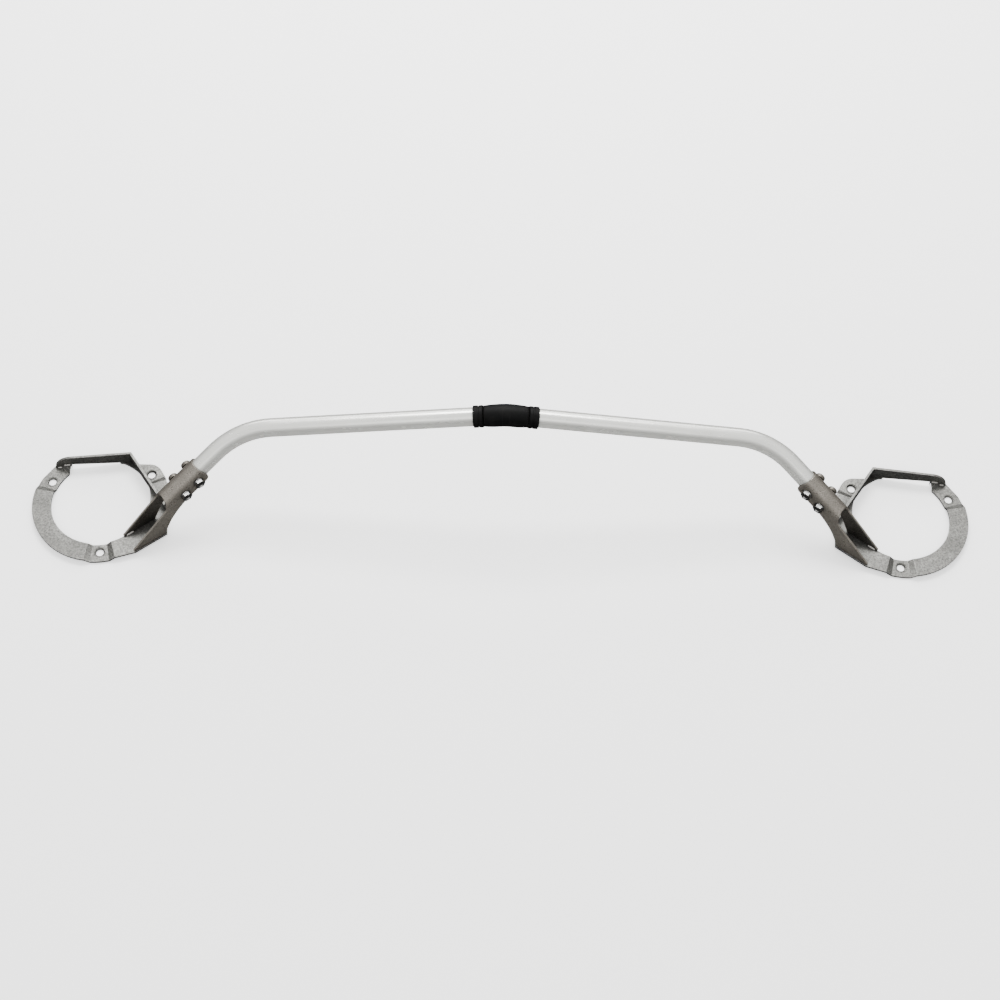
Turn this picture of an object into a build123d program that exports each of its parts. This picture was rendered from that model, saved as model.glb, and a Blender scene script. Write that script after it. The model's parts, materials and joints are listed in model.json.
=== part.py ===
from build123d import *
import os
from math import atan2, cos, degrees, radians, sin, sqrt, tan

# A two-piece strut tower bar: a ring plate bolts to each suspension strut tower, a folded
# saddle bracket on each ring clamps an aluminium tube, and the two tubes meet at a rod-end
# joint under a rubber boot. Millimetres. X runs along the bar, Y points to the side of the
# stiffener strips, Z is up, and the bolting faces lie on Z = 0.
# Everything outside the centre joint is made for the left side and mirrored for the right.

os.makedirs("parts", exist_ok=True)

# ---- driving dimensions -------------------------------------------------------------------
SHEET = 3.0                  # steel sheet of the rings and strips
BRACKET_SHEET = 2.5

RING_X = 528.5               # ring centre from the middle of the bar
RING_Y = 11.1                # ring centre from the middle of the whole bar's depth
RING_OUTER_R = 89.0
RING_INNER_R = 64.5
STUD_CIRCLE_R = 75.0         # three strut studs on a 150 mm circle
STUD_HOLE_R = 5.0
STUD_RIM_R = 6.4
STUD_A = 156.2               # stud angles about the left ring centre, degrees
STUD_B = 276.2
STUD_C = 36.2
PAD_HALF = 7.9               # half angle of a bolting pad
RAMP = 5.4                   # angle of the ramp between pad and ring
RING_RISE = 4.5              # underside of the ring above the bolting pads
PAD_A_END = 138.5            # the end pad runs on to this angle
END_RAMP = 3.0               # and has a steeper ramp, up to the strip's foot
WEDGE_R = 130.0              # reach of the wedges that the plate's height is laid out in
WEDGE_START_R = 30.0
WEDGE_ARC = 45.0             # most that one side of a wedge turns
FIRST_ANGLE = 120.0
LAST_ANGLE = 435.0
OUTLINE_END = 157.0          # the round outline runs from the bracket's foot
OUTLINE_FOOT = -70.0         # to these angles, and starts again past the bracket
OUTLINE_SIDE = -6.0
NECK = (-47.6, 43.9)         # inner edge of the end pad
EAR_BACK = 60.3              # back edge of the plate behind the inner stud
EAR_ROUND = 18.0
CORNER_ANGLE = 58.0          # the inner circle ends here
CORNER_RUN = 17.0            # and the edge joins the strip this far from its corner
FOOT_MARGIN = 1.5            # ring left in front of the bracket's foot

STRIP_TOP = 23.0             # top edge of the stiffener strip
STRIP_CORNER = (34.0, 66.8)  # outer corner of the strip, from the ring centre
STRIP_BACK_ANGLE = 6.5       # back run against X
STRIP_SIDE_ANGLE = -55.0     # side run against X
STRIP_BACK_LENGTH = 102.5
STRIP_SIDE_LENGTH = 104.0
STRIP_ROUND = ((0.0, 3.5), (6.5, 16.5), (22.0, STRIP_TOP))  # arc of the outer end
STRIP_FOOT = 21.0            # length of the strip that stands on the end pad
STRIP_GAP_LOW = 3.2          # lower edge of the free span, at the corner
STRIP_GAP_HIGH = 8.0         # and at the end pad
STRIP_GAP_ROUND = 3.0

BRACKET_ANGLE = 37.0         # plan direction of the bracket against X
BRACKET_RISE = 28.1          # climb of the clamped tube
BRACKET_TIP = (54.0, -74.6)  # front foot corner of the bracket, from the ring centre
BRACKET_BOLTS = (86.2, 107.0)    # bolt stations along the bracket, in plan
BRACKET_AXIS_Z = 65.4        # height of the tube axis at the lower bolt
BRACKET_MOUTH = 119.5        # station of the tube entry
BRACKET_FOOT = 45.4          # length of the feet on the ring
BRACKET_TOE = 2.5            # height of the walls at their front end
BRACKET_KNEE = (55.5, 52.3)  # station and height where the sloping edge meets the arch
BRACKET_ARCH = ((58.2, 60.0), (59.6, 68.0))  # the arch over the tube's open end
BRACKET_SKIRT = 11.0         # depth of the side walls below the tube axis
BRACKET_HEEL = ((72.0, 43.5), (60.5, 31.5), (54.0, 22.0))  # lower edge, mouth to foot
BRACKET_HEEL_START = 86.0    # station where the straight skirt ends
BRACKET_CORNER_R = 8.0       # rounded lower corner of the mouth
MOUTH_REACH = 22.0           # the mouth's edge is laid out this far above the axis
LEG = 140.0                  # depth of the folded sheet before it is trimmed

TUBE_R = 12.0
TUBE_WALL = 2.0
TUBE_START = 78.0            # station of the tube end inside the bracket
TUBE_BEND_STATION = 180.5    # station of the bend's corner
TUBE_BEND_R = 115.0
TUBE_RUN_RISE = 7.6          # climb of the long straight run to the centre
TUBE_END = 31.0              # tube end from the centre of the joint

FIT = 0.02                   # radial gap of a press or thread fit
RUN_FIT = 0.05               # radial gap of a running fit
SIDE_FIT = 0.1               # tube in its saddle

BOLT_R = 4.0
BOLT_HOLE_R = 4.3
BOLT_HEAD_AF = 12.0
BOLT_HEAD_H = 5.0
BOLT_FLANGE_R = 7.0
BOLT_FLANGE_H = 1.3
BOLT_FLANGE_TAPER = 25.0
BOLT_LENGTH = 34.5
BOLT_DISH_RIM = 1.6          # rim left round the dished top of the head
BOLT_DISH_DEPTH = 1.2
BOLT_DISH_TAPER = 30.0
HEAD_SINK = 0.3              # the hexagon starts inside the tapered flange
NUT_R = 6.6
NUT_H = 5.4
NUT_ROUND = 2.2
SLEEVE_R = 6.0
SLEEVE_LENGTH = 15.8

PIN_R = 3.0
PIN_LENGTH = 20.0
PIN_CHAMFER = 0.5
BALL_R = 6.35
BALL_WIDTH = 9.0
LINER_WALL = 0.5
RACE_WIDTH = 6.6
RACE_R = 8.2
HEAD_WIDTH = 6.8
HEAD_R = 9.8
SHANK_R = 4.0
SHANK_LENGTH = 50.0
FORK_SLOT = 11.0
FORK_SLOT_DEPTH = 11.5
FORK_R = 11.0                # fork body, and the round of its cheeks about the pin
SPACER_R = 5.0
SPIGOT_LENGTH = 28.0
JAM_NUT_AF = 13.0
JAM_NUT_H = 5.0
COLLAR_LENGTH = 4.0
BUNG_LENGTH = 24.0

BOOT_END = 40.8              # boot end from the centre of the joint, along each tube
BOOT_R = 14.4
BOOT_WALL = 1.4
BOOT_GROOVE_R = 13.4
BOOT_COLLAR_R = 14.15
BOOT_GRIP = 12.1
BOOT_RINGS = (35.0, 33.0, 28.8, 26.5)  # edges of the two ribs, from the end inwards
BOOT_SHOULDER = (14.0, 20.0)           # radius and place of the wall inside the ribs
BOOT_OVERLAP = 6.0                     # each half is turned this far past the middle

# ---- shared frames and helpers ------------------------------------------------------------
ring_centre = Vector(-RING_X, RING_Y, 0)
ring_level = Plane(origin=ring_centre)
ring_top = RING_RISE + SHEET

plan_dir = Vector(cos(radians(BRACKET_ANGLE)), sin(radians(BRACKET_ANGLE)), 0)
across = Vector(-plan_dir.Y, plan_dir.X, 0)
climb = tan(radians(BRACKET_RISE))
saddle_inner = TUBE_R + SIDE_FIT
saddle_outer = saddle_inner + BRACKET_SHEET
bracket_foot = ring_centre + Vector(*BRACKET_TIP)
axis_dir = (plan_dir + Vector(0, 0, climb)).normalized()


def axis_height(station):
    """Height of the clamped tube's axis at a station along the bracket."""
    return BRACKET_AXIS_Z + (station - BRACKET_BOLTS[0]) * climb


def axis_point(station, sideways=0.0):
    """A point on the clamped tube's axis, moved sideways from it."""
    start = bracket_foot + across * (saddle_outer + sideways)
    return start + plan_dir * station + Vector(0, 0, axis_height(station))


bend_corner = axis_point(TUBE_BEND_STATION)
run_dir = Vector(cos(radians(TUBE_RUN_RISE)), 0, sin(radians(TUBE_RUN_RISE)))
joint_centre = bend_corner + run_dir * (-bend_corner.X / run_dir.X)
left_axis = Plane(origin=joint_centre, x_dir=(0, 1, 0), z_dir=run_dir)
right_axis = Plane(origin=joint_centre, x_dir=(0, 1, 0), z_dir=(run_dir.X, 0, -run_dir.Z))
pivot = Plane(origin=joint_centre, x_dir=(1, 0, 0), z_dir=(0, -1, 0))


def polar(radius, angle):
    """A plan point from the ring centre."""
    return (radius * cos(radians(angle)), radius * sin(radians(angle)))


def flat(point):
    """The plan coordinates of a point."""
    return (point.X, point.Y)


def save(builder, name):
    """Label a finished piece and write it under its own name."""
    builder.part.label = name
    export_step(builder.part, f"parts/{name}.step")


def save_pair(builder, name):
    """Write a left-hand piece and its mirror image."""
    save(builder, f"left_{name}")
    with BuildPart() as right:
        mirror(builder.part, about=Plane.YZ)
    save(right, f"right_{name}")


# ---- ring plate ---------------------------------------------------------------------------
# The plate is one sheet pressed to two heights: pads on Z = 0 and a ring RING_RISE above.
# Its height is laid out as wedges about the ring centre, then trimmed to the outline.
ramps = (
    (PAD_A_END - END_RAMP, RING_RISE, PAD_A_END, 0.0),
    (STUD_A + PAD_HALF, 0.0, STUD_A + PAD_HALF + RAMP, RING_RISE),
    (STUD_B - PAD_HALF - RAMP, RING_RISE, STUD_B - PAD_HALF, 0.0),
    (STUD_B + PAD_HALF, 0.0, STUD_B + PAD_HALF + RAMP, RING_RISE),
    (360 + STUD_C - PAD_HALF - RAMP, RING_RISE, 360 + STUD_C - PAD_HALF, 0.0),
)
side_normal = Vector(-sin(radians(STRIP_SIDE_ANGLE)), cos(radians(STRIP_SIDE_ANGLE)), 0)
side_dir = Vector(cos(radians(STRIP_SIDE_ANGLE)), sin(radians(STRIP_SIDE_ANGLE)), 0)
back_dir = Vector(cos(radians(STRIP_BACK_ANGLE)), sin(radians(STRIP_BACK_ANGLE)), 0)
back_normal = Vector(-back_dir.Y, back_dir.X, 0)
mitre = (back_normal + side_normal) * (SHEET / (1 + back_normal.dot(side_normal)))
outer_corner = Vector(*STRIP_CORNER)
inner_corner = outer_corner - mitre
strip_end = outer_corner - back_dir * STRIP_BACK_LENGTH
strip_foot = strip_end + back_dir * STRIP_FOOT
corner_start = inner_corner - back_dir * CORNER_RUN
ear_start = outer_corner + side_dir * ((EAR_BACK - outer_corner.Y) / side_dir.Y)
ear_corner = (sqrt(RING_OUTER_R**2 - EAR_BACK**2), EAR_BACK)
ear_angle = degrees(atan2(EAR_BACK, ear_corner[0]))
inner_middle = (PAD_A_END + 360 + CORNER_ANGLE) / 2
outer_middle = (OUTLINE_END + 360 + OUTLINE_FOOT) / 2
foot_edge = Vector(*BRACKET_TIP) - across * FOOT_MARGIN
foot_end = foot_edge + plan_dir * (BRACKET_FOOT + FOOT_MARGIN)


def wedge(low_angle, high_angle, height):
    """A flat wedge of sheet about the ring centre."""
    steps = 1 + int((high_angle - low_angle) / WEDGE_ARC)
    span = (high_angle - low_angle) / steps
    rim = [polar(WEDGE_R, low_angle + span * k) for k in range(steps + 1)]
    with BuildSketch(ring_level.offset(height)) as sector:
        with BuildLine() as sector_edge:
            Polyline((0, 0), *rim, close=True)
        make_face(sector_edge.edges())
    extrude(sector.sketch, amount=SHEET)


def radial_section(angle, height):
    """The sheet's section on a radial line."""
    outward = Vector(*polar(1, angle))
    radial = Plane(origin=ring_centre, x_dir=outward, z_dir=outward.cross(Vector(0, 0, 1)))
    with BuildSketch(radial) as section:
        with Locations(((WEDGE_START_R + WEDGE_R) / 2, height + SHEET / 2)):
            Rectangle(WEDGE_R - WEDGE_START_R, SHEET)
    return section.sketch.faces()[0]


with BuildPart() as ring_plate:
    angle = FIRST_ANGLE
    height = RING_RISE
    for low_angle, low_height, high_angle, high_height in ramps:
        wedge(angle, low_angle, low_height)
        loft([radial_section(low_angle, low_height), radial_section(high_angle, high_height)],
             ruled=True)
        angle, height = high_angle, high_height
    wedge(angle, LAST_ANGLE, height)
    with BuildSketch(ring_level) as outline:
        with BuildLine():
            Polyline(polar(RING_OUTER_R, OUTLINE_END), flat(strip_end), flat(strip_foot), NECK,
                     polar(RING_INNER_R, PAD_A_END))
            ThreePointArc(polar(RING_INNER_R, PAD_A_END), polar(RING_INNER_R, inner_middle),
                          polar(RING_INNER_R, CORNER_ANGLE))
            Spline(polar(RING_INNER_R, CORNER_ANGLE), flat(corner_start),
                   tangents=(polar(1, CORNER_ANGLE + 90), flat(-back_dir)))
            Polyline(flat(corner_start), flat(corner_start + back_normal * SHEET),
                     flat(outer_corner), flat(ear_start), ear_corner)
            ThreePointArc(ear_corner, polar(RING_OUTER_R, ear_angle / 2),
                          polar(RING_OUTER_R, OUTLINE_SIDE))
            Polyline(polar(RING_OUTER_R, OUTLINE_SIDE), flat(foot_end), flat(foot_edge),
                     polar(RING_OUTER_R, OUTLINE_FOOT))
            ThreePointArc(polar(RING_OUTER_R, OUTLINE_FOOT), polar(RING_OUTER_R, outer_middle),
                          polar(RING_OUTER_R, OUTLINE_END))
        make_face()
        fillet(outline.vertices().sort_by_distance(Vector(*ear_corner))[0], EAR_ROUND)
    extrude(amount=ring_top, mode=Mode.INTERSECT)
    for stud in (STUD_A, STUD_B, STUD_C):
        with Locations(ring_level.offset(SHEET).location * Location(polar(STUD_CIRCLE_R, stud))):
            CounterSinkHole(STUD_HOLE_R, STUD_RIM_R, depth=SHEET, counter_sink_angle=90)
save_pair(ring_plate, "ring_plate")

# ---- stiffener strip ----------------------------------------------------------------------
# A flat bar on edge, folded once. It stands on the pads and the ring, clears the opening
# between them and ends against the outside of the bracket.
with BuildPart() as stiffener:
    side_end = outer_corner + side_dir * STRIP_SIDE_LENGTH
    with BuildSketch(ring_level):
        with BuildLine():
            Polyline(flat(strip_end), flat(outer_corner),
                     flat(side_end), flat(side_end - side_normal * SHEET),
                     flat(inner_corner), flat(strip_end - back_normal * SHEET),
                     close=True)
        make_face()
    extrude(amount=STRIP_TOP)
    back_face = Plane(origin=ring_centre + strip_end + back_normal, x_dir=back_dir,
                      z_dir=-back_normal)
    round_start, round_middle, round_end = STRIP_ROUND
    with BuildSketch(back_face):
        with BuildLine():
            ThreePointArc(round_start, round_middle, round_end)
            Polyline(round_end, (round_end[0], STRIP_TOP + SHEET), (-SHEET, STRIP_TOP + SHEET),
                     (-SHEET, round_start[1]), round_start)
        make_face()
    extrude(amount=3 * SHEET, mode=Mode.SUBTRACT)
    gap_end = STRIP_BACK_LENGTH - CORNER_RUN
    with BuildSketch(back_face) as free_span:
        with BuildLine():
            Polyline((STRIP_FOOT, -SHEET), (STRIP_FOOT, STRIP_GAP_HIGH), (gap_end, STRIP_GAP_LOW),
                     (gap_end, -SHEET), close=True)
        make_face()
        fillet(free_span.vertices().sort_by_distance(
            Vector(STRIP_FOOT, STRIP_GAP_HIGH))[0], STRIP_GAP_ROUND)
    extrude(amount=3 * SHEET, mode=Mode.SUBTRACT)
    for drop in (0, SHEET, 2 * SHEET):
        add(ring_plate.part.moved(Location((0, 0, -drop))), mode=Mode.SUBTRACT)
    bracket_wall = Plane(origin=bracket_foot + across * 2 * saddle_outer, x_dir=plan_dir,
                         z_dir=across)
    split(bisect_by=bracket_wall, keep=Keep.TOP)
save_pair(stiffener, "stiffener_strip")

# ---- saddle bracket -----------------------------------------------------------------------
# Sheet folded over the tube as an upside-down U. Its side walls run on down as two gussets
# that stand on the ring, trimmed by one outline seen from the side.
with BuildPart() as bracket:
    fold_start = -LEG / 2
    fold_length = (BRACKET_MOUTH + LEG) / cos(radians(BRACKET_RISE))
    saddle_plane = Plane(origin=axis_point(fold_start), x_dir=across, z_dir=axis_dir)
    with BuildSketch(saddle_plane):
        Circle(saddle_outer)
        with Locations((0, -LEG / 2)):
            Rectangle(2 * saddle_outer, LEG)
        Circle(saddle_inner, mode=Mode.SUBTRACT)
        with Locations((0, -LEG / 2)):
            Rectangle(2 * saddle_inner, LEG, mode=Mode.SUBTRACT)
    extrude(amount=fold_length)
    side_view = Plane(origin=bracket_foot - across, x_dir=plan_dir, z_dir=-across)
    arch_low, arch_high = BRACKET_ARCH
    mouth_low = BRACKET_MOUTH + BRACKET_SKIRT * climb
    mouth_high = BRACKET_MOUTH - MOUTH_REACH * climb
    mouth_corner = (mouth_low, axis_height(mouth_low) - BRACKET_SKIRT)
    skirt_start = (BRACKET_HEEL_START, axis_height(BRACKET_HEEL_START) - BRACKET_SKIRT)
    crest = axis_height(mouth_high) + MOUTH_REACH
    with BuildSketch(side_view) as side_outline:
        with BuildLine():
            Polyline((0, ring_top), (0, ring_top + BRACKET_TOE), BRACKET_KNEE)
            Spline(BRACKET_KNEE, arch_low, arch_high)
            Polyline(arch_high, (arch_high[0], crest), (mouth_high, crest),
                     mouth_corner, skirt_start)
            Spline(skirt_start, *BRACKET_HEEL)
            Polyline(BRACKET_HEEL[-1], (BRACKET_FOOT, ring_top), (0, ring_top))
        make_face()
        fillet(side_outline.vertices().sort_by_distance(Vector(*mouth_corner))[0],
               BRACKET_CORNER_R)
    extrude(amount=-4 * saddle_outer, mode=Mode.INTERSECT)
    for station in BRACKET_BOLTS:
        bolt_axis = Plane(origin=axis_point(station), z_dir=across)
        with Locations(bolt_axis.location):
            Cylinder(BOLT_HOLE_R, 4 * saddle_outer, mode=Mode.SUBTRACT)
save_pair(bracket, "saddle_bracket")

# ---- bar tube -----------------------------------------------------------------------------
with BuildPart() as tube:
    with BuildLine() as tube_path:
        FilletPolyline(axis_point(TUBE_START), bend_corner,
                       joint_centre - run_dir * TUBE_END, radius=TUBE_BEND_R)
    with BuildSketch(Plane(origin=axis_point(TUBE_START), z_dir=axis_dir)):
        Circle(TUBE_R)
        Circle(TUBE_R - TUBE_WALL, mode=Mode.SUBTRACT)
    sweep(path=tube_path.wires()[0])
    for station in BRACKET_BOLTS:
        bolt_axis = Plane(origin=axis_point(station), z_dir=across)
        with Locations(bolt_axis.location):
            Cylinder(BOLT_HOLE_R, 2 * saddle_outer, mode=Mode.SUBTRACT)
save_pair(tube, "bar_tube")

# ---- clamp bolts, weld nuts and crush sleeves ---------------------------------------------
with BuildPart() as bolts:
    for station in BRACKET_BOLTS:
        seat = Plane(origin=axis_point(station, -saddle_outer), x_dir=plan_dir, z_dir=-across)
        with BuildSketch(seat):
            Circle(BOLT_FLANGE_R)
        extrude(amount=BOLT_FLANGE_H, taper=BOLT_FLANGE_TAPER)
        with BuildSketch(seat.offset(BOLT_FLANGE_H - HEAD_SINK)):
            RegularPolygon(BOLT_HEAD_AF / 2, 6, major_radius=False)
        extrude(amount=BOLT_HEAD_H - BOLT_FLANGE_H + HEAD_SINK)
        with BuildSketch(seat.offset(BOLT_HEAD_H)):
            Circle(BOLT_HEAD_AF / 2 - BOLT_DISH_RIM)
        extrude(amount=-BOLT_DISH_DEPTH, taper=BOLT_DISH_TAPER, mode=Mode.SUBTRACT)
        with BuildSketch(seat):
            Circle(BOLT_R)
        extrude(amount=-BOLT_LENGTH)
save_pair(bolts, "clamp_bolts")

with BuildPart() as nuts:
    for station in BRACKET_BOLTS:
        seat = Plane(origin=axis_point(station, saddle_outer), x_dir=plan_dir, z_dir=across)
        with BuildSketch(seat):
            Circle(NUT_R)
        extrude(amount=NUT_H)
        with BuildSketch(seat):
            Circle(BOLT_R + FIT)
        extrude(amount=NUT_H, mode=Mode.SUBTRACT)
        rim = nuts.edges().filter_by(GeomType.CIRCLE).sort_by_distance(
            axis_point(station, saddle_outer + NUT_H))
        fillet([edge for edge in rim[:2] if edge.radius > BOLT_R + 1], NUT_ROUND)
save_pair(nuts, "weld_nuts")

with BuildPart() as sleeves:
    for station in BRACKET_BOLTS:
        middle = Plane(origin=axis_point(station), z_dir=across)
        with BuildSketch(middle.offset(-SLEEVE_LENGTH / 2)):
            Circle(SLEEVE_R)
            Circle(BOLT_HOLE_R, mode=Mode.SUBTRACT)
        extrude(amount=SLEEVE_LENGTH)
save_pair(sleeves, "crush_sleeves")

# ---- centre joint, left half --------------------------------------------------------------
with BuildPart() as fork:
    with BuildSketch(left_axis.offset(-TUBE_END)):
        Circle(TUBE_R)
    extrude(amount=COLLAR_LENGTH)
    with BuildSketch(left_axis.offset(-TUBE_END)):
        Circle(FORK_R)
    extrude(amount=TUBE_END + FORK_R)
    with BuildSketch(left_axis.offset(-TUBE_END)):
        Circle(TUBE_R - TUBE_WALL - FIT)
    extrude(amount=-SPIGOT_LENGTH)
    with BuildSketch(left_axis.offset(-FORK_SLOT_DEPTH)):
        Rectangle(FORK_SLOT, 3 * TUBE_R)
    extrude(amount=FORK_SLOT_DEPTH + FORK_R, mode=Mode.SUBTRACT)
    with BuildSketch(Plane(origin=joint_centre, x_dir=run_dir, z_dir=(0, -1, 0))):
        Circle(FORK_R)
        with Locations((-3 * TUBE_R, 0)):
            Rectangle(6 * TUBE_R, 2 * TUBE_R)
    extrude(amount=2 * TUBE_R, both=True, mode=Mode.INTERSECT)
    with Locations(pivot.location):
        Cylinder(PIN_R + FIT, 3 * TUBE_R, mode=Mode.SUBTRACT)
save(fork, "joint_fork")

with BuildPart() as pin:
    with Locations(pivot.location):
        Cylinder(PIN_R, PIN_LENGTH)
    chamfer(pin.edges().filter_by(GeomType.CIRCLE), PIN_CHAMFER)
save(pin, "pivot_pin")

with BuildPart() as spacers:
    for side in (-1, 1):
        with BuildSketch(pivot.offset(side * (BALL_WIDTH + FORK_SLOT) / 4)):
            Circle(SPACER_R)
            Circle(PIN_R + FIT, mode=Mode.SUBTRACT)
        extrude(amount=(FORK_SLOT - BALL_WIDTH) / 4, both=True)
save(spacers, "pivot_spacers")

with BuildPart() as ball:
    with Locations(pivot.location):
        Sphere(BALL_R)
        Box(4 * BALL_R, 4 * BALL_R, BALL_WIDTH, mode=Mode.INTERSECT)
        Cylinder(PIN_R + FIT, 4 * BALL_R, mode=Mode.SUBTRACT)
save(ball, "joint_ball")

# ---- liner and race -----------------------------------------------------------------------
liner_inner = BALL_R + RUN_FIT
liner_outer = liner_inner + LINER_WALL
race_inner = liner_outer + RUN_FIT
with BuildPart() as liner:
    with Locations(pivot.location):
        Sphere(liner_outer)
        Box(4 * BALL_R, 4 * BALL_R, RACE_WIDTH, mode=Mode.INTERSECT)
        Sphere(liner_inner, mode=Mode.SUBTRACT)
save(liner, "bearing_liner")

with BuildPart() as race:
    with Locations(pivot.location):
        Cylinder(RACE_R, RACE_WIDTH)
        Sphere(race_inner, mode=Mode.SUBTRACT)
save(race, "bearing_race")

# ---- centre joint, right half -------------------------------------------------------------
with BuildPart() as rod_end:
    with BuildSketch(right_axis):
        Circle(SHANK_R)
    extrude(amount=SHANK_LENGTH)
    with Locations(pivot.location):
        Cylinder(HEAD_R, HEAD_WIDTH)
        Cylinder(RACE_R + RUN_FIT, 3 * HEAD_WIDTH, mode=Mode.SUBTRACT)
save(rod_end, "rod_end_housing")

with BuildPart() as jam_nut:
    jam_start = TUBE_END - COLLAR_LENGTH - JAM_NUT_H
    with BuildSketch(right_axis.offset(jam_start)):
        RegularPolygon(JAM_NUT_AF / 2, 6, major_radius=False)
        Circle(SHANK_R + FIT, mode=Mode.SUBTRACT)
    extrude(amount=JAM_NUT_H)
save(jam_nut, "jam_nut")

with BuildPart() as bung:
    with BuildSketch(right_axis.offset(TUBE_END)):
        Circle(TUBE_R)
    extrude(amount=-COLLAR_LENGTH)
    with BuildSketch(right_axis.offset(TUBE_END)):
        Circle(TUBE_R - TUBE_WALL - FIT)
    extrude(amount=BUNG_LENGTH)
    with BuildSketch(right_axis.offset(TUBE_END - COLLAR_LENGTH)):
        Circle(SHANK_R + FIT)
    extrude(amount=BUNG_LENGTH + COLLAR_LENGTH, mode=Mode.SUBTRACT)
save(bung, "threaded_bung")

# ---- rubber boot --------------------------------------------------------------------------
# Each half is turned about its own tube and the halves join on the middle plane.
with BuildPart() as boot:
    boot_side = Plane(origin=joint_centre, x_dir=(0, 1, 0), z_dir=Vector(0, 1, 0).cross(run_dir))
    shoulder_r, shoulder = BOOT_SHOULDER
    end = -BOOT_END
    groove_out, groove_in, neck_out, neck_in = (-place for place in BOOT_RINGS)
    with BuildSketch(boot_side):
        with BuildLine():
            Polyline((BOOT_GRIP, end), (BOOT_COLLAR_R, end), (BOOT_COLLAR_R, groove_out),
                     (BOOT_GROOVE_R, groove_out), (BOOT_GROOVE_R, groove_in),
                     (BOOT_COLLAR_R, groove_in), (BOOT_COLLAR_R, neck_out),
                     (BOOT_GROOVE_R, neck_out), (BOOT_GROOVE_R, neck_in))
            Spline((BOOT_GROOVE_R, neck_in), (shoulder_r, -shoulder), (BOOT_R, BOOT_OVERLAP),
                   tangents=((1, 1), (0, 1)))
            Polyline((BOOT_R, BOOT_OVERLAP), (BOOT_R - BOOT_WALL, BOOT_OVERLAP),
                     (BOOT_R - BOOT_WALL, -TUBE_END), (BOOT_GRIP, -TUBE_END), (BOOT_GRIP, end))
        make_face()
    revolve(axis=Axis(joint_centre, run_dir))
    split(bisect_by=Plane.YZ, keep=Keep.BOTTOM)
    mirror(boot.part, about=Plane.YZ)
save(boot, "rubber_boot")
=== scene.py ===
import json
import math

import bmesh
import bpy
from mathutils import Matrix, Vector


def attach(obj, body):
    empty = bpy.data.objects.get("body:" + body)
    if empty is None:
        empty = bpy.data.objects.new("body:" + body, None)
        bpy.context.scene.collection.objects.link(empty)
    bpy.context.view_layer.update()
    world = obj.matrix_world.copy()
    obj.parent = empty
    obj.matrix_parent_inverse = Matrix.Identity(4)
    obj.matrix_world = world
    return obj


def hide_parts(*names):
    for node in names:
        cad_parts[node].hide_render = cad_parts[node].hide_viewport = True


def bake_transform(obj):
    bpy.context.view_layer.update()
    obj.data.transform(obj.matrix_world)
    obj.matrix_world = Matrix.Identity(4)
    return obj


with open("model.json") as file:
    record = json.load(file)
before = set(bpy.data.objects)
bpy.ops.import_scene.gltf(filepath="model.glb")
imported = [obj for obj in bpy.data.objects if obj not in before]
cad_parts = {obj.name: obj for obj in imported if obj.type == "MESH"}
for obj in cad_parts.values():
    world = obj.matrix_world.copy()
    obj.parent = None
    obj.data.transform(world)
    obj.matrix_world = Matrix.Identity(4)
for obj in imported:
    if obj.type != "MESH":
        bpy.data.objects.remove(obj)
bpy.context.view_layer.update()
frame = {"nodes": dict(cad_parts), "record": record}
nodes = frame["nodes"]

# ---- camera and light -----------------------------------------------------------------------
CAMERA_TARGET = Vector((0.0, 0.0111, 0.003))
CAMERA_DISTANCE = 2.068
CAMERA_AZIMUTH = math.radians(-1.95)
CAMERA_ELEVATION = math.radians(59.68)
CAMERA_ROLL = math.radians(2.81)
CAMERA_LENS = 56.286            # millimetres, on the sensor below
CAMERA_SENSOR = 36
CAMERA_SHIFT = (-0.00257, 0.01028)
CAMERA_CLIP = (0.05, 50)
WORLD_DARK = (0.50, 0.035)      # the world's grey up to this height of the sky, 0 to 1
WORLD_BRIGHT = (0.90, 1.0)      # and from this height on
WORLD_STRENGTH = 1.6
BACKDROP_STRENGTH = 2.2         # the white that the camera sees past the floor
FLOOR_HALF = 6.0
FLOOR_DROP = 0.0004             # the floor lies this far below the pads
FLOOR_GLOW = 0.9
LIGHTS = (                      # name, place, target, size, power in watts
    ("key", (0.0, 1.7, 2.5), (0, 0, 0), (1.8, 1.0), 120),
    ("low_back", (0.0, 1.35, 0.75), (0, 0, 0.05), (2.4, 0.5), 16),
    ("fill", (0.0, -1.6, 1.8), (0, 0, 0), (2.0, 1.0), 8),
)


def make_camera():
    back = Vector((math.sin(CAMERA_AZIMUTH) * math.cos(CAMERA_ELEVATION),
                   -math.cos(CAMERA_AZIMUTH) * math.cos(CAMERA_ELEVATION),
                   math.sin(CAMERA_ELEVATION)))
    level = Vector((math.cos(CAMERA_AZIMUTH), math.sin(CAMERA_AZIMUTH), 0))
    rise = back.cross(level)
    right = level * math.cos(CAMERA_ROLL) + rise * math.sin(CAMERA_ROLL)
    up = rise * math.cos(CAMERA_ROLL) - level * math.sin(CAMERA_ROLL)
    data = bpy.data.cameras.new("camera")
    data.lens = CAMERA_LENS
    data.sensor_width = CAMERA_SENSOR
    data.shift_x, data.shift_y = CAMERA_SHIFT
    data.clip_start, data.clip_end = CAMERA_CLIP
    camera = bpy.data.objects.new("camera", data)
    turn = Matrix((right, up, back)).transposed().to_4x4()
    camera.matrix_world = Matrix.Translation(CAMERA_TARGET + back * CAMERA_DISTANCE) @ turn
    bpy.context.scene.collection.objects.link(camera)
    bpy.context.scene.camera = camera


def area_light(name, place, target, size, power):
    data = bpy.data.lights.new(name, "AREA")
    data.shape = "RECTANGLE"
    data.size, data.size_y = size
    data.energy = power
    light = bpy.data.objects.new(name, data)
    light.location = place
    light.rotation_mode = "QUATERNION"
    light.rotation_quaternion = (Vector(target) - Vector(place)).to_track_quat("-Z", "Y")
    bpy.context.scene.collection.objects.link(light)


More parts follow.
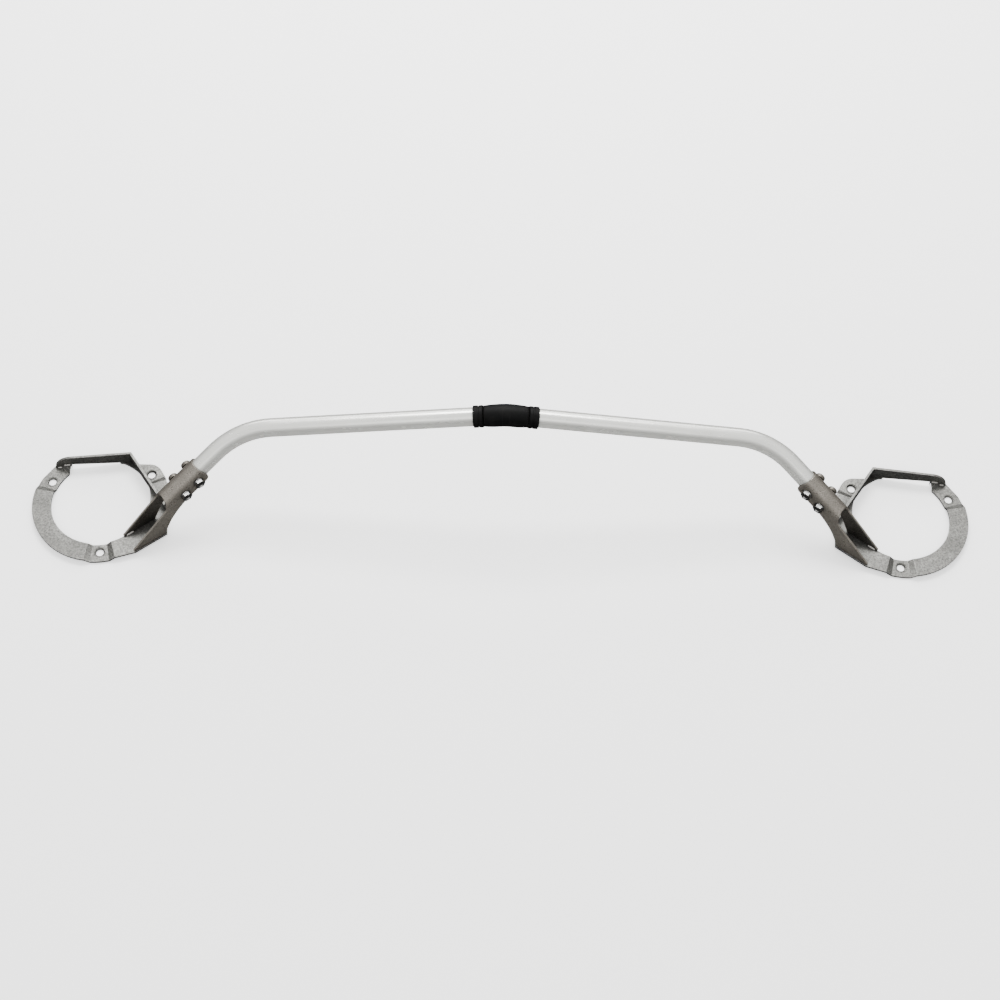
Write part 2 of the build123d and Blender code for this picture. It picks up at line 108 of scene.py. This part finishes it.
def make_world():
    """A sky that is dark near the horizon and bright overhead, and a plain white backdrop."""
    world = bpy.data.worlds.new("studio")
    bpy.context.scene.world = world
    world.use_nodes = True
    tree = world.node_tree
    tree.nodes.clear()

    coords = tree.nodes.new("ShaderNodeTexCoord")
    split = tree.nodes.new("ShaderNodeSeparateXYZ")
    height = tree.nodes.new("ShaderNodeMapRange")
    height.inputs["From Min"].default_value = -1
    ramp = tree.nodes.new("ShaderNodeValToRGB")
    for stop, (position, grey) in zip(ramp.color_ramp.elements, (WORLD_DARK, WORLD_BRIGHT)):
        stop.position = position
        stop.color = (grey, grey, grey, 1)
    sky = tree.nodes.new("ShaderNodeBackground")
    sky.inputs["Strength"].default_value = WORLD_STRENGTH
    tree.links.new(coords.outputs["Generated"], split.inputs[0])
    tree.links.new(split.outputs["Z"], height.inputs["Value"])
    tree.links.new(height.outputs["Result"], ramp.inputs["Fac"])
    tree.links.new(ramp.outputs["Color"], sky.inputs["Color"])

    backdrop = tree.nodes.new("ShaderNodeBackground")
    backdrop.inputs["Color"].default_value = (1, 1, 1, 1)
    backdrop.inputs["Strength"].default_value = BACKDROP_STRENGTH
    rays = tree.nodes.new("ShaderNodeLightPath")
    choose = tree.nodes.new("ShaderNodeMixShader")
    out = tree.nodes.new("ShaderNodeOutputWorld")
    tree.links.new(rays.outputs["Is Camera Ray"], choose.inputs["Fac"])
    tree.links.new(sky.outputs[0], choose.inputs[1])
    tree.links.new(backdrop.outputs[0], choose.inputs[2])
    tree.links.new(choose.outputs[0], out.inputs[0])


def make_floor():
    mesh = bpy.data.meshes.new("floor")
    corners = [(-1, -1), (1, -1), (1, 1), (-1, 1)]
    mesh.from_pydata([(x * FLOOR_HALF, y * FLOOR_HALF, 0) for x, y in corners], [],
                     [(0, 1, 2, 3)])
    floor = bpy.data.objects.new("floor", mesh)
    bpy.context.scene.collection.objects.link(floor)
    floor.location.z = -FLOOR_DROP
    material = bpy.data.materials.new("floor")
    material.use_nodes = True
    shader = material.node_tree.nodes["Principled BSDF"]
    shader.inputs["Base Color"].default_value = (0.97, 0.97, 0.965, 1)
    shader.inputs["Roughness"].default_value = 0.9
    shader.inputs["Specular IOR Level"].default_value = 0.1
    shader.inputs["Emission Color"].default_value = (1, 1, 1, 1)
    shader.inputs["Emission Strength"].default_value = FLOOR_GLOW
    mesh.materials.append(material)
    floor.visible_glossy = False


make_camera()
make_world()
make_floor()
for light in LIGHTS:
    area_light(*light)


# ---- materials ------------------------------------------------------------------------------
RAY_SAMPLES = 6                 # rays of each bevel and occlusion lookup
# near-black of the painted shade that darkens recesses
PAINTED_SHADE_COLOUR = (0.006, 0.0055, 0.005)


class Nodes:
    """Short calls for building a material's node tree. Sizes are in metres."""

    def __init__(self, name):
        self.material = bpy.data.materials.new(name)
        self.material.use_nodes = True
        self.tree = self.material.node_tree
        self.shader = self.tree.nodes["Principled BSDF"]
        self.coords = self.tree.nodes.new("ShaderNodeTexCoord").outputs["Object"]

    def link(self, source, target):
        self.tree.links.new(source, target)

    def stretched(self, scale):
        """Object coordinates scaled along each axis, to draw a texture out."""
        mapping = self.tree.nodes.new("ShaderNodeMapping")
        mapping.inputs["Scale"].default_value = scale
        self.link(self.coords, mapping.inputs["Vector"])
        return mapping.outputs["Vector"]

    def noise(self, size, detail=3.0, vector=None, rough=0.5):
        """Noise whose features are about `size` across."""
        node = self.tree.nodes.new("ShaderNodeTexNoise")
        node.inputs["Scale"].default_value = 1 / size
        node.inputs["Detail"].default_value = detail
        node.inputs["Roughness"].default_value = rough
        self.link(vector or self.coords, node.inputs["Vector"])
        return node.outputs["Fac"]

    def cells(self, size):
        """Distance to the nearest of scattered points, for pits."""
        node = self.tree.nodes.new("ShaderNodeTexVoronoi")
        node.inputs["Scale"].default_value = 1 / size
        self.link(self.coords, node.inputs["Vector"])
        return node.outputs["Distance"]

    def span(self, value, low, high, to_low, to_high):
        """Carry the range low..high over to to_low..to_high, clamped."""
        node = self.tree.nodes.new("ShaderNodeMapRange")
        for key, number in (("From Min", low), ("From Max", high),
                            ("To Min", to_low), ("To Max", to_high)):
            node.inputs[key].default_value = number
        self.link(value, node.inputs["Value"])
        return node.outputs["Result"]

    def times(self, one, two):
        node = self.tree.nodes.new("ShaderNodeMath")
        node.operation = "MULTIPLY"
        self.link(one, node.inputs[0])
        self.link(two, node.inputs[1])
        return node.outputs[0]

    def mix(self, factor, one, two):
        """Colour mix; one and two are colours or sockets."""
        node = self.tree.nodes.new("ShaderNodeMix")
        node.data_type = "RGBA"
        self.link(factor, node.inputs["Factor"])
        for key, value in (("A", one), ("B", two)):
            socket = next(s for s in node.inputs if s.name == key and s.type == "RGBA")
            if isinstance(value, tuple):
                socket.default_value = (*value, 1)
            else:
                self.link(value, socket)
        return next(s for s in node.outputs if s.type == "RGBA")

    def soft_normal(self, radius):
        """The surface normal with sharp edges eased over a radius."""
        node = self.tree.nodes.new("ShaderNodeBevel")
        node.samples = RAY_SAMPLES
        node.inputs["Radius"].default_value = radius
        return node.outputs["Normal"]

    def edge(self, eased, low, high):
        """One at sharp edges, nothing on flat faces; `eased` is a soft_normal."""
        face = self.tree.nodes.new("ShaderNodeNewGeometry").outputs["Normal"]
        node = self.tree.nodes.new("ShaderNodeVectorMath")
        node.operation = "DOT_PRODUCT"
        self.link(eased, node.inputs[0])
        self.link(face, node.inputs[1])
        return self.span(node.outputs["Value"], low, high, 1, 0)

    def painted_shade(self, colour, reach, darkest):
        """Painted shade: darken a colour towards near-black in recesses, found by ambient
        occlusion, as if they lay in shadow.
        """
        node = self.tree.nodes.new("ShaderNodeAmbientOcclusion")
        node.samples = RAY_SAMPLES
        node.inputs["Distance"].default_value = reach
        open_sky = self.span(node.outputs["AO"], 0.25, 0.8, darkest, 1)
        return self.mix(open_sky, PAINTED_SHADE_COLOUR, colour)

    def bump(self, height, distance, strength=1.0, normal=None):
        node = self.tree.nodes.new("ShaderNodeBump")
        node.inputs["Distance"].default_value = distance
        node.inputs["Strength"].default_value = strength
        self.link(height, node.inputs["Height"])
        if normal:
            self.link(normal, node.inputs["Normal"])
        return node.outputs["Normal"]

    def set(self, **values):
        """Give the shader's sockets a value or a link, by name with _ for a space."""
        for key, value in values.items():
            socket = self.shader.inputs[key.replace("_", " ")]
            if isinstance(value, bpy.types.NodeSocket):
                self.link(value, socket)
            else:
                socket.default_value = value


def sheet_metal(name, base, dark, worn, speck, rough, metallic, shade_depth=(0.03, 0.12)):
    """Plated sheet: cloudy tone, fine crystals and pits, rubbed edges, and painted shade in
    recesses.

    `speck` is the size of a crystal, `rough` the range of roughness, and the last argument the
    reach and the darkest tone of the painted shade that darkens recesses.
    """
    n = Nodes(name)
    cloud = n.noise(0.022, 4)
    crystal = n.noise(speck, 3, rough=0.75)
    pits = n.span(n.cells(speck * 2.2), 0.0, 0.22, 1, 0)
    tone = n.mix(n.span(crystal, 0.36, 0.64, 0, 1), dark, base)
    shade = n.mix(n.span(cloud, 0.35, 0.7, 0, 0.5), tone, dark)
    pitted = n.mix(n.times(pits, n.span(n.noise(0.009, 2), 0.5, 0.62, 0, 0.8)), shade, dark)
    eased = n.soft_normal(0.0006)
    rub = n.times(n.edge(eased, 0.86, 0.99), n.span(n.noise(0.004, 3), 0.3, 0.6, 0.25, 1))
    # the base colour carries painted shade: recesses darkened by occlusion as if in shadow
    n.set(Base_Color=n.painted_shade(n.mix(rub, pitted, worn), *shade_depth), Metallic=metallic,
          Roughness=n.span(n.noise(speck * 1.7, 3), 0.3, 0.7, *rough),
          Normal=n.bump(crystal, speck * 0.05, 0.6, n.bump(pits, 0.00004, 0.5, eased)))
    return n.material


def drawn_tube(name, base, dark, rough, metallic):
    """Drawn tube: fine lines along its length, faint handling marks, and painted shade in
    recesses.
    """
    n = Nodes(name)
    lines = n.noise(0.0009, 2, n.stretched((0.012, 1, 1)), 0.5)
    marks = n.noise(0.005, 3, n.stretched((0.1, 1, 1)), 0.6)
    cloud = n.noise(0.03, 3)
    tone = n.mix(n.span(lines, 0.3, 0.7, 0, 0.3), base, dark)
    shade = n.mix(n.span(cloud, 0.4, 0.7, 0, 0.35), tone, dark)
    eased = n.soft_normal(0.0004)
    # the base colour carries painted shade in recesses
    n.set(Base_Color=n.painted_shade(shade, 0.012, 0.1), Metallic=metallic,
          Roughness=n.span(marks, 0.35, 0.65, *rough),
          Normal=n.bump(lines, 0.000006, 0.3, eased))
    return n.material


def bright_part(name, base, dark, rough, metallic=1.0, grain=0.0008):
    """Small machined or plated part: tool marks and rubbed edges."""
    n = Nodes(name)
    marks = n.noise(grain, 3, rough=0.65)
    eased = n.soft_normal(0.0003)
    rub = n.edge(eased, 0.85, 0.99)
    tone = n.mix(n.span(marks, 0.35, 0.65, 0, 1), dark, base)
    n.set(Base_Color=n.mix(rub, tone, base), Metallic=metallic,
          Roughness=n.span(n.noise(grain * 3, 2), 0.3, 0.7, *rough),
          Normal=n.bump(marks, grain * 0.03, 0.5, eased))
    return n.material


def moulded_rubber(name):
    """Black rubber: fine grain, a little bloom in places, duller edges."""
    n = Nodes(name)
    grain = n.noise(0.0007, 3, rough=0.7)
    bloom = n.span(n.noise(0.011, 4), 0.45, 0.75, 0, 0.7)
    eased = n.soft_normal(0.0004)
    tone = n.mix(bloom, (0.002, 0.002, 0.002), (0.006, 0.0055, 0.005))
    n.set(Base_Color=n.mix(n.edge(eased, 0.9, 0.99), tone, (0.012, 0.0115, 0.011)),
          Roughness=n.span(grain, 0.3, 0.7, 0.5, 0.68),
          Normal=n.bump(grain, 0.00005, 0.6, eased))
    n.shader.inputs["Specular IOR Level"].default_value = 0.09
    return n.material


looks = {
    "plated_sheet": sheet_metal(
        "plated_sheet", base=(0.265, 0.263, 0.245), dark=(0.095, 0.094, 0.088),
        worn=(0.55, 0.55, 0.53), speck=0.0022, rough=(0.34, 0.5), metallic=0.88),
    # the bracket's painted shade reaches 5 cm and turns its deepest recesses near-black
    "bracket_steel": sheet_metal(
        "bracket_steel", base=(0.30, 0.275, 0.238), dark=(0.16, 0.146, 0.126),
        worn=(0.45, 0.43, 0.39), speck=0.0016, rough=(0.26, 0.38), metallic=0.72,
        shade_depth=(0.05, 0.0)),
    "tube_aluminium": drawn_tube(
        "tube_aluminium", base=(0.80, 0.80, 0.76), dark=(0.66, 0.66, 0.615),
        rough=(0.22, 0.28), metallic=0.62),
    "turned_aluminium": bright_part(
        "turned_aluminium", base=(0.74, 0.74, 0.73), dark=(0.6, 0.6, 0.59), rough=(0.24, 0.36)),
    "zinc_hardware": bright_part(
        "zinc_hardware", base=(0.36, 0.36, 0.35), dark=(0.2, 0.2, 0.196), rough=(0.22, 0.36)),
    "nut_steel": bright_part(
        "nut_steel", base=(0.13, 0.118, 0.1), dark=(0.08, 0.073, 0.063), rough=(0.34, 0.48),
        metallic=0.7),
    "inner_steel": bright_part(
        "inner_steel", base=(0.58, 0.58, 0.57), dark=(0.44, 0.44, 0.43), rough=(0.25, 0.36)),
    "liner_plastic": bright_part(
        "liner_plastic", base=(0.84, 0.83, 0.78), dark=(0.72, 0.71, 0.66), rough=(0.5, 0.62),
        metallic=0.0),
    "boot_rubber": moulded_rubber("boot_rubber"),
}
weld_look = bright_part("weld_bead", base=(0.62, 0.61, 0.58), dark=(0.30, 0.29, 0.27),
                        rough=(0.24, 0.4), grain=0.0005)
slot_of = {row["node"]: row["material_slot"] for row in frame["record"]["subparts"]}
for name, node in nodes.items():
    node.data.materials.clear()
    node.data.materials.append(looks[slot_of[name]])

# ---- rubber boot ----------------------------------------------------------------------------
# The boot is one moulding. It crosses three hinges and is made here in three lengths that meet
# without a gap, one length for each hinge. Places along the boot are measured from the joint,
# and the left half mirrors the right.
JOINT = Vector(frame["record"]["behaviour"]["joints"][0]["pos_m"])
RUN_RISE = math.radians(7.6)    # slope of each tube towards the joint
TUBE_END = 0.031
BEND_HALF = 0.008               # the boot's own rest bend runs this far to each side
BOOT_END = 0.0408
BOOT_RIBS = ((BOOT_END, 0.0350), (0.0330, 0.0288))
BOOT_NECK = 0.0265              # the ribs' shoulder starts here
BOOT_RIB_R = 0.01415
BOOT_GROOVE_R = 0.0134
BOOT_MIDDLE_R = 0.0144
BOOT_GRIP = 0.0121              # inner radius on the tube
BOOT_WALL = 0.0010
SEAM = 0.004                    # the middle length ends here
AROUND = 128
PARTING_RIDGE = 0.00012         # mould line along the front and the back
RIB_ROUND = 0.0005
INNER_ROUND = 0.0004
SWELL_STEPS = 14
OUTER_STEP = 0.0011             # longest step of the outline
INNER_STEP = 0.0022
MIDDLE_STEP = 0.001
SHARP = math.radians(50)        # edges sharper than this stay sharp


def spine(along):
    """A point on the boot's centre line and its direction."""
    left = Vector((math.cos(RUN_RISE), 0, math.sin(RUN_RISE)))
    right = Vector((math.cos(RUN_RISE), 0, -math.sin(RUN_RISE)))
    if along <= -BEND_HALF:
        return JOINT + left * along, left
    if along >= BEND_HALF:
        return JOINT + right * along, right
    t = (along + BEND_HALF) / (2 * BEND_HALF)
    start, end = JOINT - left * BEND_HALF, JOINT + right * BEND_HALF
    place = start * (1 - t) ** 2 + JOINT * (2 * t * (1 - t)) + end * t ** 2
    return place, (left * (1 - t) + right * t).normalized()


def rounded(points, radius, steps=4):
    """A line of points with its inner corners rounded off."""
    line = [points[0]]
    for before, corner, after in zip(points, points[1:], points[2:]):
        reach = min(radius, (corner - before).length / 2, (after - corner).length / 2)
        start = corner + (before - corner).normalized() * reach
        end = corner + (after - corner).normalized() * reach
        for k in range(steps + 1):
            t = k / steps
            line.append(start * (1 - t) ** 2 + corner * (2 * t * (1 - t)) + end * t ** 2)
    return line + [points[-1]]


def divided(points, longest):
    """The same line with no step longer than the given length."""
    line = [points[0]]
    for before, after in zip(points, points[1:]):
        steps = max(1, math.ceil((after - before).length / longest))
        line += [before.lerp(after, k / steps) for k in range(1, steps + 1)]
    return line


def ring_faces(rows, columns, first=0):
    """Faces of a grid of points that closes on itself both ways, as on a ring."""
    faces = []
    for i in range(rows):
        here, there = first + i * columns, first + (i + 1) % rows * columns
        for k in range(columns):
            after = (k + 1) % columns
            faces.append((here + k, here + after, there + after, there + k))
    return faces


def boot_wall(along):
    """Outer radius between the ribs: fullest over the joint."""
    swell = 1 - (abs(along) / BOOT_NECK) ** 4
    return BOOT_GROOVE_R + (BOOT_MIDDLE_R - BOOT_GROOVE_R) * swell


def middle_loop(start, end):
    """Outline of the plain wall over the joint, as (along, radius) points."""
    steps = math.ceil((end - start) / MIDDLE_STEP)
    places = [start + (end - start) * k / steps for k in range(steps + 1)]
    outer = [Vector((x, boot_wall(x))) for x in places]
    return outer + [Vector((x, BOOT_MIDDLE_R - BOOT_WALL)) for x in reversed(places)]


def ribbed_loop(start):
    """Outline of the wall from a place near the joint to the end that grips the tube."""
    (far, far_in), (near, near_in) = BOOT_RIBS
    ribs = [(BOOT_NECK, BOOT_GROOVE_R), (near_in, BOOT_GROOVE_R), (near_in, BOOT_RIB_R),
            (near, BOOT_RIB_R), (near, BOOT_GROOVE_R), (far_in, BOOT_GROOVE_R),
            (far_in, BOOT_RIB_R), (far, BOOT_RIB_R), (far, BOOT_GRIP)]
    inside = [(far, BOOT_GRIP), (TUBE_END, BOOT_GRIP),
              (TUBE_END, BOOT_MIDDLE_R - BOOT_WALL), (start, BOOT_MIDDLE_R - BOOT_WALL)]
    places = [start + (BOOT_NECK - start) * k / SWELL_STEPS for k in range(SWELL_STEPS)]
    outer = [Vector((x, boot_wall(x))) for x in places]
    outer += rounded([Vector(p) for p in ribs], RIB_ROUND)
    inner = rounded([Vector(p) for p in inside], INNER_ROUND)
    return divided(outer, OUTER_STEP) + divided(inner, INNER_STEP)[1:]


def boot_length(name, start, end):
    """One length of the boot, from one place along the centre line to another."""
    mirrored = end < 0
    if start < 0 < end:
        loop = middle_loop(start, end)
    else:
        loop = ribbed_loop(-end if mirrored else start)
    verts = []
    for along, radius in loop:
        place, direction = spine(-along if mirrored else along)
        across = Vector((0, 1, 0))
        normal = direction.cross(across).normalized()
        outside = radius > BOOT_GROOVE_R * 0.99
        for k in range(AROUND):
            angle = 2 * math.pi * k / AROUND
            ridge = PARTING_RIDGE if outside and k % (AROUND // 2) == 0 else 0
            outward = across * math.cos(angle) + normal * math.sin(angle)
            verts.append(place + outward * (radius + ridge))
    mesh = bpy.data.meshes.new(name)
    mesh.from_pydata(verts, [], ring_faces(len(loop), AROUND))
    shape = bmesh.new()
    shape.from_mesh(mesh)
    bmesh.ops.remove_doubles(shape, verts=shape.verts, dist=1e-7)
    bmesh.ops.recalc_face_normals(shape, faces=shape.faces)
    for edge in shape.edges:
        edge.smooth = len(edge.link_faces) == 2 and edge.calc_face_angle(0) < SHARP
    for face in shape.faces:
        face.smooth = True
    shape.to_mesh(mesh)
    shape.free()
    mesh.materials.append(looks["boot_rubber"])
    piece = bpy.data.objects.new(name, mesh)
    bpy.context.scene.collection.objects.link(piece)
    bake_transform(piece)
    return piece


boot_pieces = [
    boot_length("boot_left", -BOOT_END, -SEAM),
    boot_length("boot_middle", -SEAM, SEAM),
    boot_length("boot_right", SEAM, BOOT_END),
]
for piece in boot_pieces:
    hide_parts("rubber_boot")

# ---- weld beads and coined rims --------------------------------------------------------------
# Laid out for the left half, and mirrored for the right.
STUDS = next(m for m in frame["record"]["mounts"] if m["name"] == "left_strut_studs")
RING_CENTRE = Vector((*STUDS["pos_m"][:2], 0))
STUD_CIRCLE_R = STUDS["dims"]["pcd_mm"] / 2000
STUD_ANGLES = (156.2, 276.2, 36.2)
RING_TOP = 0.0075
PAD_TOP = 0.003
STRIP_ANGLE = math.radians(6.5)
STRIP_CORNER = Vector((0.0340, 0.0668, 0))
STRIP_LENGTH = 0.1025
STRIP_SHEET = 0.003
STRIP_BEADS = (                 # start and end from the strip's outer end, height, seed
    (0.0115, 0.0206, RING_TOP, 0.3),
    (0.0025, 0.0085, PAD_TOP, 1.1),
)
STRIP_LEG = 0.0013              # size of the weld's triangle
BRACKET_ANGLE = math.radians(37.0)
BRACKET_TIP = Vector((0.0540, -0.0746, 0))
BRACKET_WIDTH = 0.0292
BRACKET_SHEET = 0.0025
BRACKET_BEAD = (0.003, 0.014)   # start and end from the walls' front end
BRACKET_LEG = 0.0016
RIPPLE = 0.0013                 # spacing of a bead's ripples
RIPPLE_ROWS = 6
BEAD_ARC = 6
BEAD_TAPER = 5                  # rows over which a bead's ends run out
BEAD_SINK = 0.0001              # the bead's root lies this deep in the two faces
RIM_PROFILE = (                 # radius from the hole's axis and height above the pad
    (0.0063, -0.0002), (0.0065, 0.0002), (0.0068, 0.0004), (0.0072, 0.0004),
    (0.0075, 0.0002), (0.0077, -0.0002))
RIM_AROUND = 64
UP = Vector((0, 0, 1))


def add_piece(name, verts, faces, look, body, mirrored):
    """Link a mesh piece that rides on a body, mirrored for the right half."""
    mesh = bpy.data.meshes.new(name)
    mesh.from_pydata([(-v.x if mirrored else v.x, v.y, v.z) for v in verts], [], faces)
    shape = bmesh.new()
    shape.from_mesh(mesh)
    bmesh.ops.recalc_face_normals(shape, faces=shape.faces)
    for face in shape.faces:
        face.smooth = True
    shape.to_mesh(mesh)
    shape.free()
    mesh.materials.append(look)
    piece = bpy.data.objects.new(name, mesh)
    bpy.context.scene.collection.objects.link(piece)
    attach(piece, body)


def bead(verts, faces, start, end, away_a, away_b, leg, seed):
    """Add a rippled fillet weld in the corner between two faces."""
    rows = max(8, int((end - start).length / RIPPLE * RIPPLE_ROWS))
    along = (end - start) / rows
    first = len(verts)
    for i in range(rows + 1):
        taper = min(1, (min(i, rows - i) + 1) / BEAD_TAPER)
        wave = abs(math.sin(math.pi * i / RIPPLE_ROWS + seed)) * 0.12
        drift = 0.06 * math.sin(i * 0.37 + seed * 2.1)
        reach = leg * taper * (1 + wave + drift)
        root = start + along * i
        verts.append(root - (away_a + away_b) * BEAD_SINK)
        for k in range(BEAD_ARC + 1):
            t = math.radians(90) * k / BEAD_ARC
            verts.append(root + away_a * (reach * math.cos(t)) + away_b * (reach * math.sin(t)))
    ring = BEAD_ARC + 2
    for i in range(rows):
        for k in range(ring):
            a, b = first + i * ring + k, first + i * ring + (k + 1) % ring
            faces.append((a, b, b + ring, a + ring))
    faces.append(tuple(first + k for k in range(ring)))
    faces.append(tuple(first + rows * ring + k for k in range(ring)))


def strip_weld(side, mirrored):
    """Beads along the strip's outer end, on the ring and on the end pad."""
    back = Vector((math.cos(STRIP_ANGLE), math.sin(STRIP_ANGLE), 0))
    inward = Vector((math.sin(STRIP_ANGLE), -math.cos(STRIP_ANGLE), 0))
    strip_end = RING_CENTRE + STRIP_CORNER - back * STRIP_LENGTH + inward * STRIP_SHEET
    verts, faces = [], []
    for start, end, height, seed in STRIP_BEADS:
        bead(verts, faces, strip_end + back * start + UP * height,
             strip_end + back * end + UP * height, inward, UP, STRIP_LEG, seed)
    add_piece(f"{side}_strip_weld", verts, faces, weld_look,
              f"{side}_half", mirrored)


def bracket_weld(side, mirrored):
    """Beads inside the bracket's two walls, where they stand on the ring."""
    along = Vector((math.cos(BRACKET_ANGLE), math.sin(BRACKET_ANGLE), 0))
    across = Vector((-along.y, along.x, 0))
    foot = RING_CENTRE + BRACKET_TIP + UP * RING_TOP
    far = foot + across * (BRACKET_WIDTH - BRACKET_SHEET)
    near = foot + across * BRACKET_SHEET
    start, end = BRACKET_BEAD
    verts, faces = [], []
    for wall, away, seed in ((far, -across, 0.7), (near, across, 1.9)):
        bead(verts, faces, wall + along * start, wall + along * end, away, UP, BRACKET_LEG, seed)
    add_piece(f"{side}_bracket_weld", verts, faces, weld_look,
              f"{side}_half", mirrored)


def coined_rims(side, mirrored):
    """A low rim pressed up round each stud hole."""
    verts, faces = [], []
    for angle in STUD_ANGLES:
        turn = math.radians(angle)
        hole = RING_CENTRE + Vector((math.cos(turn), math.sin(turn), 0)) * STUD_CIRCLE_R
        faces += ring_faces(RIM_AROUND, len(RIM_PROFILE), first=len(verts))
        for k in range(RIM_AROUND):
            t = 2 * math.pi * k / RIM_AROUND
            for radius, height in RIM_PROFILE:
                verts.append(hole + Vector((radius * math.cos(t), radius * math.sin(t),
                                            PAD_TOP + height)))
    add_piece(f"{side}_stud_rims", verts, faces, looks["plated_sheet"],
              f"{side}_half", mirrored)


for side, mirrored in (("left", False), ("right", True)):
    strip_weld(side, mirrored)
    bracket_weld(side, mirrored)
    coined_rims(side, mirrored)
